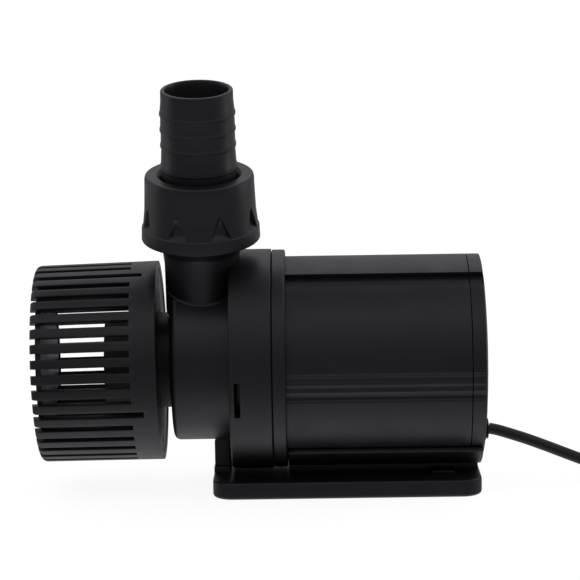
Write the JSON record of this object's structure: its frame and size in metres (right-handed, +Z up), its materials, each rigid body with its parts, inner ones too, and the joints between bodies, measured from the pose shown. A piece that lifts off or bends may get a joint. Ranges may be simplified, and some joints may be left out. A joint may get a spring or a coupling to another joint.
{
  "type": "submersible aquarium pump",
  "caption": "Submersible aquarium circulation pump: slotted strainer, twist-lock volute with union hose tail, round motor on a base plate, coiled low-voltage lead.",
  "frame": {"origin": "on the floor, under the middle of the base plate's underside", "axes": "+X along the pump axis towards the rear cap and the lead, -X towards the strainer; +Z up; the outlet leans towards -Y"},
  "size_m": [0.3322, 0.1426, 0.1815],
  "materials": {
    "black_plastic": "moulded satin black",
    "dark_plastic": "moulded matt black",
    "rubber": "matt black rubber",
    "cord_rubber": "smooth black cable jacket",
    "ceramic": "ground off-white ceramic",
    "steel": "stainless",
    "lamination": "varnished electrical steel",
    "copper": "enamelled copper wire",
    "magnet_coat": "epoxy coated ferrite",
    "board": "solder-masked board"
  },
  "bodies": {
    "motor": {"motor_housing": "black_plastic", "rear_cap": "black_plastic", "rear_seal": "rubber", "head_seal": "rubber", "rotor_can": "dark_plastic", "stator_core": "lamination", "stator_coil_1": "copper", "stator_coil_2": "copper", "stator_coil_3": "copper", "stator_coil_4": "copper", "stator_coil_5": "copper", "stator_coil_6": "copper", "sensor_board": "board", "ceramic_shaft": "ceramic", "rear_bush": "rubber", "cable_gland": "rubber", "base_plate": "black_plastic", "rubber_foot_1": "rubber", "rubber_foot_2": "rubber", "rubber_foot_3": "rubber", "rubber_foot_4": "rubber", "base_screw_1": "steel", "base_screw_2": "steel", "power_cord": "cord_rubber", "cord_coil": "cord_rubber", "coil_tie": "rubber", "cord_end": "cord_rubber", "connector_body": "dark_plastic"},
    "rotor": {"rotor_magnet": "magnet_coat", "rotor_sleeve": "dark_plastic", "impeller": "dark_plastic", "thrust_washer": "ceramic"},
    "head": {"volute_cover": "black_plastic", "front_bush": "rubber"},
    "tail": {"hose_tail": "black_plastic", "tail_gasket": "rubber"},
    "nut": {"union_nut": "black_plastic"},
    "strainer": {"strainer_basket": "black_plastic", "strainer_back": "dark_plastic"},
    "collar": {"connector_collar": "dark_plastic"}
  },
  "joints": [
    {"name": "rotor_spin", "type": "hinge", "parent": "motor", "child": "rotor", "pos_m": [-0.0623, 0, 0.0569], "axis": [1, 0, 0], "continuous": true},
    {"name": "head_twist", "type": "hinge", "parent": "motor", "child": "head", "pos_m": [-0.04, 0, 0.0569], "axis": [1, 0, 0], "range_deg": [-12.4, 17.6]},
    {"name": "tail_lift", "type": "slide", "parent": "head", "child": "tail", "axis": [0, -0.2147, 0.9767], "range_m": [0, 0.0121]},
    {"name": "nut_turn", "type": "hinge", "parent": "tail", "child": "nut", "pos_m": [-0.0623, -0.01503, 0.12527], "axis": [0, -0.2147, 0.9767], "range_deg": [0, 1080]},
    {"name": "strainer_pull", "type": "slide", "parent": "head", "child": "strainer", "axis": [-1, 0, 0], "range_m": [0, 0.06]},
    {"name": "collar_turn", "type": "hinge", "parent": "motor", "child": "collar", "pos_m": [0.1875, 0.087, 0.0086], "axis": [0, 1, 0], "continuous": true}
  ],
  "couplings": [
    {"joint": "tail_lift", "follows": "nut_turn", "m_per_rad": 0.00063662}
  ]
}
